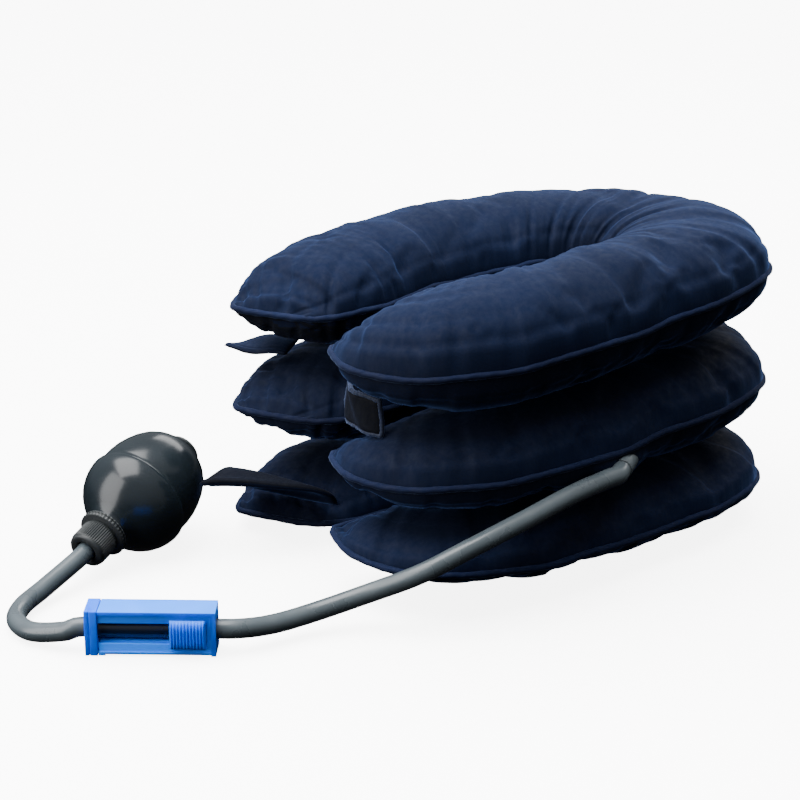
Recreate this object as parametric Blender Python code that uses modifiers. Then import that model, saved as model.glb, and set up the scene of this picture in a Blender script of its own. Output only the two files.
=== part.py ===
"""Cervical traction device: three inflatable collar tiers, an air hose with a slide clamp, a hand bulb.

Frame: +Z up, the collar lies on z = 0, its open front faces -Y and the nape is at +Y.
All lengths are in metres. The near arm of the collar is the +X one.
"""
import math
from typing import NamedTuple

import bmesh
import bpy
import numpy as np
from mathutils import Matrix, Vector

MM = 0.001
GAP = 0.3 * MM  # left between pieces that touch

# ---- the collar ------------------------------------------------------------
# Ribs of the collar's outline from the near arm's end round the nape to the far
# arm's end: outer seam x, y and inner seam x, y, in millimetres.
RIBS = (
    (13, -114, 14, -43),
    (44, -114, 17, -42),
    (74, -94, 19, -36),
    (89, -58, 20, -23),
    (91, -13, 18, -3),
    (84, 32, 14, 20),
    (77, 75, 9, 40),
    (56, 118, 2, 56),
    (9, 132, -7, 62),
    (-40, 114, -18, 54),
    (-79, 76, -25, 38),
    (-99, 34, -28, 18),
    (-105, -12, -29, -6),
    (-101, -58, -26, -36),
    (-90, -93, -19, -62),
    (-72, -119, -8, -82),
)
SHIFT = Vector((5.6 * MM, 38.5 * MM, 0))  # puts the middle of the box at x = y = 0
END_ROWS = (2.8, 4.5, 8, 13, 20, 30)  # distance of the first rows from an arm's end, mm
MID_ROWS = 16
ACROSS = (0.0, 0.06, 0.2, 0.35, 0.5, 0.65, 0.8, 0.94, 1.0)  # rows across a panel
SEAM_INSET = 2.7 * MM  # from the seam line to a panel's edge
SEAM_LIFT = 1.0 * MM  # from the seam plane to a panel's edge
CORNER_INSET = 4 * MM  # further inset of a panel's corners
CORNER = 20 * MM  # length over which an arm's end narrows
CORNER_CUT = 0.26  # share of the width that the end loses
END_TAPER = 40 * MM  # length over which an arm's end thins out
CROWN_POWER = 2.4  # of the lens section, 2 would be an ellipse
PANEL_WALL = 1.2 * MM
PIPING_R = 1.7 * MM
BLADDER_WALL = 0.8 * MM
BLADDER_CLEAR = 2.2 * MM  # from a panel's outer face to the bladder
BLADDER_INSET = 8 * MM  # from an arm's end to the bladder
BLADDER_SIDE = 0.1  # share of the width outside each side of the bladder
BLADDER_TAPER = 30 * MM
BLADDER_ACROSS = (0.0, 0.1, 0.3, 0.5, 0.7, 0.9, 1.0)
BLADDER_ON_FLOOR = 0.9  # share of the drop over an underside that lies on the floor

FLAT_ACROSS = (0.15, 0.85)  # share of the width that lies flat on the floor
FLAT_THINNING = 0.9  # of the full drop, from which the underside is flat
LIFT_POWER = 1.5  # how the lift of the near arm fades towards the nape


class Tier(NamedTuple):
    name: str
    seam_z: float  # seam height at y = 0
    slope: float  # of the seam towards the nape
    lift: float  # of the seam at the near arm's end
    rise: float  # of the top over the seam
    rise_loss: float  # of the rise at the near arm's end
    drop: float  # of the underside, 0 lays it on the floor
    drop_loss: float


TIERS = (
    Tier("bottom", 14.5 * MM, 0.04, 17 * MM, 25 * MM, 9 * MM, 0, 0),
    Tier("middle", 68.5 * MM, 0.038, 0, 25 * MM, 0, 24 * MM, 7 * MM),
    Tier("top", 123 * MM, 0.064, 0, 29.5 * MM, -6 * MM, 26 * MM, 0),
)
NAVY = (0.012, 0.022, 0.075)
NAVY_TRIM = (0.02, 0.034, 0.1)

# ---- air links between the tiers, and the hose's stem ------------------------
LINK_XY = (-66, 16)  # in the far arm, millimetres, in the ribs' coordinates
LINKS = (  # name, lowest and highest point
    ("lower_air_link", 30 * MM, 53 * MM),
    ("upper_air_link", 82 * MM, 107 * MM),
)
LINK_R = 5 * MM
LINK_BORE = 3 * MM
LINK_FLANGE_R = 9 * MM
FLANGE_T = 1 * MM
PORT_CLEAR = 0.4 * MM
STEM_TIP = (91, 3, 60.5)  # where the hose leaves its stem, ribs' coordinates, mm
STEM_DIR = Vector((0.62, -0.78, -0.08)).normalized()
STEM_R = 5.6 * MM
STEM_LENGTH = 24 * MM
STEM_BORE = 3 * MM

# ---- hose, clamp and bulb -----------------------------------------------------
HOSE_R = 4.5 * MM
HOSE_SIDES = 2  # bevel resolution
CLAMP_MID = (35.4, -209.2, 11.1)  # ribs' coordinates, mm
CLAMP_YAW = math.radians(56.5)
NUT_FRONT = (-50.5, -205.5, 14.6)
BULB_YAW = math.radians(118)
BULB_PITCH = math.radians(16.5)
# Route between the stem and the clamp, and between the clamp and the nut, mm.
ROUTE_TO_CLAMP = (
    (95.5, -9, 59.5),
    (96.5, -30, 56.5),
    (96, -56, 49.5),
    (92, -82, 40.5),
    (82, -102, 29),
    (66, -121, 17.5),
    (57, -143, 10.5),
    (56, -163, 9.5),
)
ROUTE_TO_NUT = (
    (11.5, -244.5, 8.5),
    (-2, -254, 5.4),
    (-17, -255, 4.9),
    (-29, -247, 5.2),
    (-38, -233, 6.8),
)
HOSE_STEP = 10.5 * MM
HOSE_LEAD = 3 * MM  # straight at each end of the hose
HOSE_SHOULDER = 5.7 * MM  # depth in the nut at which the hose meets the valve stem

CLAMP_LENGTH = 52 * MM
CLAMP_DEPTH = 14 * MM
CLAMP_HEIGHT = 21 * MM
CLAMP_CAP = 6 * MM  # length of the end cap
CLAMP_ROUND = 1.2 * MM
SLOT_START = -26 * MM  # along the clamp from the middle of its body
SLOT_END = 22 * MM
SLOT_HEIGHT = 10 * MM
RAIL_HEIGHT = 14 * MM  # groove behind the slot that holds the slider in
RAIL_DEPTH = 2 * MM
LIP = 2 * MM  # thickness of the clamp's face over the groove
SLIDER_LENGTH = 16 * MM
SLIDER_PROUD = 3 * MM
RIBS_ON_SLIDER = 9

NUT_R = 9.6 * MM
NUT_LENGTH = 13 * MM
NUT_TEETH = 36
NUT_TOOTH = 0.45 * MM
BORE_R = 5 * MM  # through the nut, the collar ring and the bulb's neck
STEM_TUBE_R = 4.6 * MM
COLLAR_R = 12.4 * MM
BULB_START = 17 * MM  # from the nut's front face to the bulb's neck
BULB_END = 83 * MM
BULB_WALL = 2.4 * MM
REAR_BORE = 6 * MM
BALL_R = 2.6 * MM
BALL_SEAT = 3.3 * MM  # from a cage's far end to the middle of its seated ball
OUTLET_LENGTH = 9.6 * MM
INLET_LENGTH = 11 * MM
CAGE_R = 3.2 * MM
AIR_HOLE = 1.8 * MM
TINY = 1e-6
AIR_RUBBER = (0.25, 0.27, 0.3)
BLUE = (0.0, 0.21, 0.9)
GREY = (0.045, 0.055, 0.062)
RUBBER = (0.02, 0.026, 0.03)


# ---- scene, collections and materials -----------------------------------------
for old in list(bpy.data.objects):
    bpy.data.objects.remove(old, do_unlink=True)


def collection(name):
    made = bpy.data.collections.new(name)
    bpy.context.scene.collection.children.link(made)
    return made


PARTS = collection("cervical_traction_device")
CUTTERS = collection("cutters")


def material(name, color, roughness, metallic=0.0):
    made = bpy.data.materials.new(name)
    made.use_nodes = True
    shader = made.node_tree.nodes["Principled BSDF"]
    shader.inputs["Base Color"].default_value = (*color, 1)
    shader.inputs["Roughness"].default_value = roughness
    shader.inputs["Metallic"].default_value = metallic
    return made


def add(name, data, look, home=None):
    """An object in the parts collection, with its own material (color, roughness)."""
    made = bpy.data.objects.new(name, data)
    (home or PARTS).objects.link(made)
    data.materials.append(material(name, *look))
    return made


def cutter(obj):
    """Moves an object to the cutters' collection."""
    for home in list(obj.users_collection):
        home.objects.unlink(obj)
    CUTTERS.objects.link(obj)
    obj.hide_render = True
    obj.display_type = "WIRE"
    return obj


def cut(obj, tool, operation="DIFFERENCE"):
    step = obj.modifiers.new(operation.title(), "BOOLEAN")
    step.operation = operation
    step.solver = "EXACT"
    step.object = tool


def mesh_from(name, bm):
    data = bpy.data.meshes.new(name)
    bm.to_mesh(data)
    bm.free()
    return data


def place(point):
    """A point in the ribs' millimetres, as world metres."""
    return Vector(point) * MM + SHIFT


def axis_matrix(origin, direction):
    """A matrix that puts local +Z along direction and local 0 at origin."""
    turn = direction.to_track_quat("Z", "Y").to_matrix().to_4x4()
    return Matrix.Translation(origin) @ turn


def turned(name, outline, look, steps=24):
    """A closed outline of (radius, height) turned about local Z with a Screw modifier.

    The outline runs down its outer side and up its inner side."""
    bm = bmesh.new()
    points = [bm.verts.new((r, 0, z)) for r, z in outline]
    on_axis = outline[0][0] == 0 and outline[-1][0] == 0
    pairs = list(zip(points, points[1:])) + ([] if on_axis else [(points[-1], points[0])])
    for pair in pairs:
        bm.edges.new(pair)
    made = add(name, mesh_from(name, bm), look)
    screw = made.modifiers.new("Turn", "SCREW")
    screw.steps = screw.render_steps = steps
    screw.use_merge_vertices = True
    screw.merge_threshold = 1e-5
    return made


def cylinder(name, radius, depth, matrix, sides=24):
    bm = bmesh.new()
    bmesh.ops.create_cone(
        bm, cap_ends=True, segments=sides, radius1=radius, radius2=radius, depth=depth
    )
    made = add(name, mesh_from(name, bm), (NAVY, 0.5))
    made.matrix_world = matrix
    return cutter(made)


def box(name, low, high, look, rounding=0.0):
    """A box between two corners in its own frame."""
    bm = bmesh.new()
    bmesh.ops.create_cube(bm, size=1)
    size = Vector(high) - Vector(low)
    bmesh.ops.scale(bm, vec=size, verts=bm.verts)
    bmesh.ops.translate(bm, vec=(Vector(high) + Vector(low)) / 2, verts=bm.verts)
    made = add(name, mesh_from(name, bm), look)
    if rounding:
        soften = made.modifiers.new("Rounding", "BEVEL")
        soften.width = rounding
        soften.segments = 2
    return made


# ---- smooth curves -----------------------------------------------------------------
def smooth(points, count=None, at=None):
    """Points on the Catmull-Rom curve through points, evenly spaced or at given lengths."""
    knots = [np.array(p, float) for p in points]
    knots = [2 * knots[0] - knots[1], *knots, 2 * knots[-1] - knots[-2]]
    fine = []
    for a, b, c, d in zip(knots, knots[1:], knots[2:], knots[3:]):
        for t in np.linspace(0, 1, 24, endpoint=False):
            pull = 2 * b + (c - a) * t + (2 * a - 5 * b + 4 * c - d) * t**2
            fine.append((pull + (3 * b - a - 3 * c + d) * t**3) / 2)
    fine = np.array([*fine, knots[-2]])
    reach = np.concatenate([[0], np.cumsum(np.linalg.norm(np.diff(fine, axis=0), axis=1))])
    where = np.linspace(0, reach[-1], count) if at is None else np.asarray(at)
    return np.column_stack([np.interp(where, reach, axis) for axis in fine.T]), reach[-1]


RIB_POINTS = [
    [(xo * MM + SHIFT.x), (yo * MM + SHIFT.y), (xi * MM + SHIFT.x), (yi * MM + SHIFT.y)]
    for xo, yo, xi, yi in RIBS
]
FINE_RIBS, _ = smooth(RIB_POINTS, count=400)
MIDDLES = (FINE_RIBS[:, :2] + FINE_RIBS[:, 2:]) / 2
ALONG = np.concatenate([[0], np.cumsum(np.linalg.norm(np.diff(MIDDLES, axis=0), axis=1))])
LENGTH = ALONG[-1]


def station(length):
    """Outer and inner seam points of the collar at a length along its middle line."""
    rib = np.array([np.interp(length, ALONG, axis) for axis in FINE_RIBS.T])
    outer, inner = rib[:2], rib[2:]
    end = min(length, LENGTH - length)
    round_off = 1 - math.sqrt(max(0, 1 - (1 - min(1, end / CORNER)) ** 2))
    pinch = CORNER_CUT * round_off / 2
    return outer + (inner - outer) * pinch, inner + (outer - inner) * pinch


def rows():
    """Lengths of the rows along the collar, close together at the arms' ends."""
    ends = [row * MM for row in END_ROWS]
    mids = np.linspace(ends[-1], LENGTH - ends[-1], MID_ROWS + 2)[1:-1]
    return [*ends, *mids, *[LENGTH - row for row in reversed(ends)]]


def crown(across):
    """Share of the full rise at a place across the tier, 0 at both seams."""
    return (1 - abs(2 * across - 1) ** CROWN_POWER) ** (1 / CROWN_POWER)


def thinning(length, inset=SEAM_INSET, taper=END_TAPER):
    """Share of the full rise at a length along the collar, 0 at the inset from both ends."""
    end = min(length, LENGTH - length) - inset
    return math.sqrt(max(0, 1 - (1 - min(1, end / taper)) ** 2))


def edge_inset(length):
    """From the seam to a panel's side edge, which is wider at the rounded corners."""
    end = min(length, LENGTH - length) - SEAM_INSET
    return SEAM_INSET + CORNER_INSET * max(0, 1 - end / CORNER) ** 3


def near_share(length):
    """1 at the near arm's end, 0 from the nape on."""
    return max(0, 1 - 2 * length / LENGTH) ** LIFT_POWER


def seam_height(tier, length, y):
    return tier.seam_z + tier.slope * (y - SHIFT.y) + tier.lift * near_share(length)


def bulge(tier, side, length, seam):
    """Full height of a tier's top (side 1) or depth of its underside (side -1)."""
    share = near_share(length)
    if side > 0:
        return tier.rise - tier.rise_loss * share
    if tier.drop:
        return tier.drop - tier.drop_loss * share
    return seam - tier.lift * share


def grid_faces(bm, grid, flip):
    for here, there in zip(grid, grid[1:]):
        for a, b, c, d in zip(here, here[1:], there[1:], there):
            bm.faces.new((a, d, c, b) if flip else (a, b, c, d))


# ---- the pieces of one tier ----------------------------------------------------------
def panel(tier, side):
    """One thin cover panel: the tier's top (side 1) or underside (side -1)."""
    bm = bmesh.new()
    grid = []
    for length in rows():
        outer, inner = station(length)
        width = np.linalg.norm(inner - outer)
        edge = edge_inset(length) / width
        line = []
        for across in ACROSS:
            x, y = outer + (inner - outer) * (edge + (1 - 2 * edge) * across)
            seam = seam_height(tier, length, y)
            full = bulge(tier, side, length, seam)
            rise = SEAM_LIFT + (full - SEAM_LIFT) * crown(across) * thinning(length)
            on_floor = side < 0 and not tier.drop
            flat = FLAT_ACROSS[0] < across < FLAT_ACROSS[1] and thinning(length) > FLAT_THINNING
            if on_floor and flat:
                rise = full
            line.append(bm.verts.new((x, y, seam + side * rise)))
        grid.append(line)
    grid_faces(bm, grid, flip=side > 0)
    name = f"{tier.name}_{'upper' if side > 0 else 'lower'}_panel"
    made = add(name, mesh_from(name, bm), (NAVY, 0.8))
    wall = made.modifiers.new("Wall", "SOLIDIFY")
    wall.thickness = PANEL_WALL
    wall.offset = -1
    return made


def piping(tier):
    """The corded seam all round a tier, a closed tube."""
    lengths = [0, *rows(), LENGTH]
    outer = [(*station(length)[0], length) for length in lengths]
    inner = [(*station(length)[1], length) for length in reversed(lengths)]
    ends = []
    for length in (LENGTH, 0):
        start, stop = station(length)
        ends.append([(*(start + (stop - start) * t), length) for t in ACROSS[2:-2]])
    loop = [*outer, *ends[0], *inner, *reversed(ends[1])]
    name = f"{tier.name}_piping"
    curve = bpy.data.curves.new(name, "CURVE")
    curve.dimensions = "3D"
    curve.bevel_depth = PIPING_R
    curve.bevel_resolution = 1
    line = curve.splines.new("POLY")
    line.points.add(len(loop) - 1)
    line.use_cyclic_u = True
    for point, (x, y, length) in zip(line.points, loop):
        point.co = (x, y, seam_height(tier, length, y), 1)
    return add(name, curve, (NAVY_TRIM, 0.7))


def bladder(tier, ports):
    """The airtight bladder inside a tier, a closed pillow opened by its ports."""
    low, high = BLADDER_INSET, LENGTH - BLADDER_INSET
    lengths = [low, *[row for row in rows() if low < row - HOSE_LEAD and row + HOSE_LEAD < high], high]
    bm = bmesh.new()
    grids = {1: [], -1: []}
    for length in lengths:
        outer, inner = station(length)
        thin = thinning(length, BLADDER_INSET, BLADDER_TAPER)
        lines = {1: [], -1: []}
        for across in BLADDER_ACROSS:
            x, y = outer + (inner - outer) * (BLADDER_SIDE + (1 - 2 * BLADDER_SIDE) * across)
            seam = seam_height(tier, length, y)
            share = crown(across) * thin
            for side in grids:
                if side < 0 and share < TINY:
                    lines[side].append(lines[1][-1])
                    continue
                reach = (bulge(tier, side, length, seam) - BLADDER_CLEAR) * share
                if side < 0 and not tier.drop:
                    reach *= BLADDER_ON_FLOOR
                lines[side].append(bm.verts.new((x, y, seam + side * reach)))
        for side in grids:
            grids[side].append(lines[side])
    grid_faces(bm, grids[1], flip=True)
    grid_faces(bm, grids[-1], flip=False)
    name = f"{tier.name}_bladder"
    made = add(name, mesh_from(name, bm), (AIR_RUBBER, 0.4))
    wall = made.modifiers.new("Wall", "SOLIDIFY")
    wall.thickness = BLADDER_WALL
    wall.offset = -1
    for port in ports:
        cut(made, port)
    return made


def tier_pieces():
    """Panels, piping and bladder of every tier, with the ports that link them."""
    link_ports = []
    for name, low, high in LINKS:
        middle = Matrix.Translation(place((*LINK_XY, 0)) + Vector((0, 0, (low + high) / 2)))
        link_ports.append(cylinder(f"{name}_port", LINK_R + PORT_CLEAR, high - low, middle))
    across = axis_matrix(place(STEM_TIP) - STEM_DIR * STEM_LENGTH / 2, STEM_DIR)
    stem_port = cylinder("stem_port", STEM_R + PORT_CLEAR, 2.5 * STEM_LENGTH, across)
    holes = {
        "bottom": ([], link_ports[:1], link_ports[:1]),
        "middle": ([link_ports[0], stem_port], link_ports[1:], [*link_ports, stem_port]),
        "top": (link_ports[1:], [], link_ports[1:]),
    }
    for tier in TIERS:
        under, over, inside = holes[tier.name]
        for side, tools in ((-1, under), (1, over)):
            piece = panel(tier, side)
            for tool in tools:
                cut(piece, tool)
        piping(tier)
        bladder(tier, inside)


def air_link(name, low, high):
    """A short tube with a flange inside each of the two bladders it joins."""
    half = (high - low) / 2
    outline = (
        (LINK_FLANGE_R, half),
        (LINK_FLANGE_R, half - FLANGE_T),
        (LINK_R, half - FLANGE_T),
        (LINK_R, FLANGE_T - half),
        (LINK_FLANGE_R, FLANGE_T - half),
        (LINK_FLANGE_R, -half),
        (LINK_BORE, -half),
        (LINK_BORE, half),
    )
    made = turned(name, outline, (AIR_RUBBER, 0.45), steps=16)
    made.location = place((*LINK_XY, 0)) + Vector((0, 0, (low + high) / 2))
    return made


def hose_stem():
    """The barrel that carries the hose into the middle tier's bladder."""
    outline = (
        (STEM_R, 0),
        (STEM_R, -STEM_LENGTH),
        (STEM_BORE, -STEM_LENGTH),
        (STEM_BORE, 0),
    )
    made = turned("hose_stem", outline, (GREY, 0.5), steps=20)
    made.matrix_world = axis_matrix(place(STEM_TIP), STEM_DIR)
    return made


# ---- the hose ---------------------------------------------------------------------------
CLAMP_DIR = Vector((-math.cos(CLAMP_YAW), -math.sin(CLAMP_YAW), 0))
BULB_DIR = Vector(
    (
        math.cos(BULB_YAW) * math.cos(BULB_PITCH),
        math.sin(BULB_YAW) * math.cos(BULB_PITCH),
        math.sin(BULB_PITCH),
    )
)


def air_hose():
    """One soft hose from the stem, through the clamp, into the bulb's nut."""
    start = place(STEM_TIP) + STEM_DIR * 2 * GAP
    middle = place(CLAMP_MID)
    reach = CLAMP_DIR * (CLAMP_LENGTH / 2 + CLAMP_CAP + HOSE_LEAD)
    nut = place(NUT_FRONT)
    knots = [
        start,
        start + STEM_DIR * 2 * HOSE_LEAD,
        *[place(p) for p in ROUTE_TO_CLAMP],
        middle - reach,
        middle - reach / 2,
        middle,
        middle + reach / 2,
        middle + reach,
        *[place(p) for p in ROUTE_TO_NUT],
        nut - BULB_DIR * 6 * MM,
        nut,
        nut + BULB_DIR * (HOSE_SHOULDER - GAP),
    ]
    _, length = smooth(knots, count=2)
    mids = np.linspace(HOSE_LEAD, length - HOSE_LEAD, round(length / HOSE_STEP))
    line_points, _ = smooth(knots, at=[0, *mids, length])
    curve = bpy.data.curves.new("air_hose", "CURVE")
    curve.dimensions = "3D"
    curve.bevel_depth = HOSE_R
    curve.bevel_resolution = HOSE_SIDES
    curve.use_fill_caps = True
    line = curve.splines.new("POLY")
    line.points.add(len(line_points) - 1)
    for point, spot in zip(line.points, line_points):
        point.co = (*spot, 1)
    return add("air_hose", curve, (GREY, 0.35))


# ---- the slide clamp ----------------------------------------------------------------------
def clamp():
    """The clamp's body, its end cap and its ribbed slider. Local +X runs with the hose towards
    the bulb, local +Y is the slotted face."""
    frame = Matrix.Translation(place(CLAMP_MID)) @ Matrix.Rotation(
        math.atan2(CLAMP_DIR.y, CLAMP_DIR.x), 4, "Z"
    )
    half, depth, tall = CLAMP_LENGTH / 2, CLAMP_DEPTH / 2, CLAMP_HEIGHT / 2
    body = box("clamp_body", (-half, -depth, -tall), (half, depth, tall), (BLUE, 0.3), CLAMP_ROUND)
    cap = box(
        "clamp_end_cap",
        (half + GAP, -depth - 0.5 * MM, -tall - 0.5 * MM),
        (half + CLAMP_CAP, depth + 0.5 * MM, tall + 0.5 * MM),
        (BLUE, 0.3),
        CLAMP_ROUND,
    )
    bore = cylinder("hose_bore", HOSE_R + 2 * GAP, 3 * CLAMP_LENGTH, frame @ ALONG_X)
    slot = box(
        "slot_cutter",
        (-SLOT_END, 0, -SLOT_HEIGHT / 2),
        (-SLOT_START, CLAMP_DEPTH, SLOT_HEIGHT / 2),
        (BLUE, 0.3),
    )
    groove_top = depth - LIP
    groove = box(
        "groove_cutter",
        (-SLOT_END, groove_top - RAIL_DEPTH, -RAIL_HEIGHT / 2),
        (-SLOT_START, groove_top, RAIL_HEIGHT / 2),
        (BLUE, 0.3),
    )
    for tool in (slot, groove):
        cutter(tool)
    for tool in (bore, slot, groove):
        cut(body, tool)
    cut(cap, bore)

    ends = (-SLOT_END + GAP, -SLOT_END + GAP + SLIDER_LENGTH)
    grip = ribbed_grip("clamp_slider", ends, depth + GAP, SLIDER_PROUD, SLOT_HEIGHT + 4 * MM)
    neck = box(
        "slider_neck",
        (ends[0], groove_top - RAIL_DEPTH + GAP, -SLOT_HEIGHT / 2 + GAP),
        (ends[1], depth + 1 * MM, SLOT_HEIGHT / 2 - GAP),
        (BLUE, 0.3),
    )
    rail = box(
        "slider_rail",
        (ends[0], groove_top - RAIL_DEPTH + GAP, -RAIL_HEIGHT / 2 + GAP),
        (ends[1], groove_top - GAP, RAIL_HEIGHT / 2 - GAP),
        (BLUE, 0.3),
    )
    clearance = cylinder("slider_clearance", HOSE_R + GAP, CLAMP_LENGTH, ALONG_X)
    for tool in (neck, rail):
        cutter(tool)
        cut(grip, tool, "UNION")
    cut(grip, clearance)
    for piece in (body, cap, grip, slot, groove, neck, rail):
        piece.matrix_world = frame
    clearance.matrix_world = frame @ ALONG_X


ALONG_X = Matrix.Rotation(math.radians(90), 4, "Y")


def ribbed_grip(name, ends, base, proud, height):
    """The slider's thumb grip, an outline with ribs extruded along its height."""
    start, stop = ends
    pitch = (stop - start) / RIBS_ON_SLIDER
    outline = [(start, base), (stop, base)]
    for rib in reversed(range(RIBS_ON_SLIDER)):
        low = start + rib * pitch
        outline += [(low + 0.9 * pitch, base + proud), (low + 0.35 * pitch, base + proud)]
        outline.append((low + 0.1 * pitch, base + proud - 0.5 * MM))
    bm = bmesh.new()
    floor = bm.faces.new([bm.verts.new((x, y, -height / 2)) for x, y in outline])
    grown = bmesh.ops.extrude_face_region(bm, geom=[floor])
    tops = [item for item in grown["geom"] if isinstance(item, bmesh.types.BMVert)]
    bmesh.ops.translate(bm, vec=(0, 0, height), verts=tops)
    bmesh.ops.recalc_face_normals(bm, faces=bm.faces)
    return add(name, mesh_from(name, bm), ((0.02, 0.3, 1.0), 0.3))


# ---- the bulb -----------------------------------------------------------------------------
def on_bulb(obj):
    """Local +Z runs from the nut's front face along the bulb's axis."""
    obj.matrix_world = axis_matrix(place(NUT_FRONT), BULB_DIR)
    return obj


def nut():
    """The knurled release nut, turned to let the air out."""
    bm = bmesh.new()
    ring = []
    for tooth in range(NUT_TEETH):
        for share, radius in ((0.0, NUT_R), (0.5, NUT_R - NUT_TOOTH)):
            angle = math.tau * (tooth + share) / NUT_TEETH
            ring.append(bm.verts.new((radius * math.cos(angle), radius * math.sin(angle), 0)))
    face = bm.faces.new(ring)
    grown = bmesh.ops.extrude_face_region(bm, geom=[face])
    tops = [item for item in grown["geom"] if isinstance(item, bmesh.types.BMVert)]
    bmesh.ops.translate(bm, vec=(0, 0, NUT_LENGTH), verts=tops)
    bmesh.ops.recalc_face_normals(bm, faces=bm.faces)
    made = on_bulb(add("release_nut", mesh_from("release_nut", bm), (RUBBER, 0.5)))
    bore = cylinder("nut_bore", BORE_R, 4 * NUT_LENGTH, made.matrix_world)
    cut(made, bore)
    return made


def ball_cage(name, low, high, outer, flange=None):
    """A turned valve body round a cage for a ball, with an air hole at each end.

    flange is the radius and thickness of a rim at its high end."""
    ends = [(outer, high), (outer, low)]
    if flange:
        radius, thick = flange
        ends = [(radius, high), (radius, high - thick), (outer, high - thick), (outer, low)]
    outline = [
        *ends,
        (AIR_HOLE, low),
        (AIR_HOLE, low + 1.2 * MM),
        (CAGE_R, low + 2.6 * MM),
        (CAGE_R, high - 2.6 * MM),
        (AIR_HOLE, high - 1.2 * MM),
        (AIR_HOLE, high),
    ]
    return on_bulb(turned(name, outline, ((0.3, 0.31, 0.32), 0.35), steps=20))


def ball(name, height):
    bm = bmesh.new()
    bmesh.ops.create_uvsphere(bm, u_segments=14, v_segments=10, radius=BALL_R)
    made = add(name, mesh_from(name, bm), ((0.6, 0.62, 0.65), 0.25))
    made.matrix_world = axis_matrix(place(NUT_FRONT) + BULB_DIR * height, BULB_DIR)
    return made


def bulb_pieces():
    """Valve stem, collar ring, bulb and the two check valves with their balls."""
    nut()
    on_bulb(
        turned(
            "collar_ring",
            (
                (COLLAR_R - 1 * MM, BULB_START - GAP),
                (COLLAR_R, BULB_START - 1.2 * MM),
                (COLLAR_R, NUT_LENGTH + 1.2 * MM),
                (COLLAR_R - 1 * MM, NUT_LENGTH + GAP),
                (BORE_R, NUT_LENGTH + GAP),
                (BORE_R, BULB_START - GAP),
            ),
            (RUBBER, 0.4),
        )
    )
    on_bulb(
        turned(
            "valve_stem",
            (
                (STEM_TUBE_R, BULB_START + 5 * MM),
                (STEM_TUBE_R, HOSE_SHOULDER),
                (AIR_HOLE, HOSE_SHOULDER),
                (AIR_HOLE, BULB_START + 5 * MM),
            ),
            ((0.3, 0.31, 0.32), 0.35),
            steps=20,
        )
    )
    skin = [(radius * MM, BULB_START + height * MM) for radius, height in BULB_SKIN]
    wall = [(radius - BULB_WALL, height) for radius, height in skin[1:-1]]
    outline = [
        *reversed(skin),
        (BORE_R, BULB_START),
        (BORE_R, BULB_START + 5 * MM),
        *wall,
        (REAR_BORE, BULB_END - 4 * MM),
        (REAR_BORE, BULB_END),
    ]
    on_bulb(turned("bulb", outline, (RUBBER, 0.25), steps=28))
    outlet = BULB_START + 5 * MM + GAP
    ball_cage("outlet_valve", outlet, outlet + OUTLET_LENGTH, BORE_R + 1.2 * MM)
    ball("outlet_ball", outlet + OUTLET_LENGTH - BALL_SEAT)
    flange = (REAR_BORE + 3 * MM, 1.8 * MM)
    inlet_top = BULB_END + GAP + flange[1]
    ball_cage("inlet_valve", inlet_top - INLET_LENGTH, inlet_top, REAR_BORE - GAP, flange)
    ball("inlet_ball", inlet_top - BALL_SEAT)


# Outside of the bulb, radius and distance from its neck, mm. The step at 27 is the crease.
BULB_SKIN = (
    (8.6, 0),
    (8.4, 2.2),
    (13.2, 5.2),
    (19.6, 9.8),
    (24.2, 15.6),
    (26.6, 22),
    (27, 26.6),
    (26.3, 28.6),
    (26.1, 36),
    (24.6, 45),
    (21, 54),
    (15.5, 60.3),
    (9.8, 64.4),
    (8, 66),
)


# ---- closure straps -------------------------------------------------------------------------
def strap(name, spine, widths, across, thick, look):
    """A flat sewn strap along a spine of points, with a half width at each, laid out along across."""
    bm = bmesh.new()
    grid = []
    points = [place(p) for p in spine]
    for spot, half in zip(points, widths):
        grid.append([bm.verts.new(spot + across * half * MM * t) for t in (-1, -0.5, 0, 0.5, 1)])
    grid_faces(bm, grid, flip=False)
    made = add(name, mesh_from(name, bm), look)
    wall = made.modifiers.new("Cloth", "SOLIDIFY")
    wall.thickness = thick
    wall.offset = 0
    return made


def hang_from(obj, origin):
    """Moves a mesh object's origin to a world point and leaves its shape where it is."""
    obj.data.transform(Matrix.Translation(-origin))
    obj.location = origin


LOWER_STRAP = ((-42, -96, 22), (-39, -103, 30), (-39, -114, 36), (-40, -130, 39), (-43, -146, 39))
LOWER_STRAP_HALF = (25, 26, 22, 13, 2.5)
LOWER_STRAP_ACROSS = Vector((0.865, 0.5, 0))
UPPER_STRAP = ((-66, -82, 91), (-74, -90, 91), (-83, -99, 90), (-91, -107, 88.5))
UPPER_STRAP_HALF = (14, 13, 9, 2)
UPPER_STRAP_ACROSS = Vector((0.7, -0.7, 0))
STRAP_T = 2.4 * MM
LOOP_TAB = ((16, -98, 90), (24, -100, 90), (32, -100, 90), (40, -98, 90))
LOOP_TAB_HEIGHT = 13 * MM
LOOP_TAB_T = 3 * MM


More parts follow.
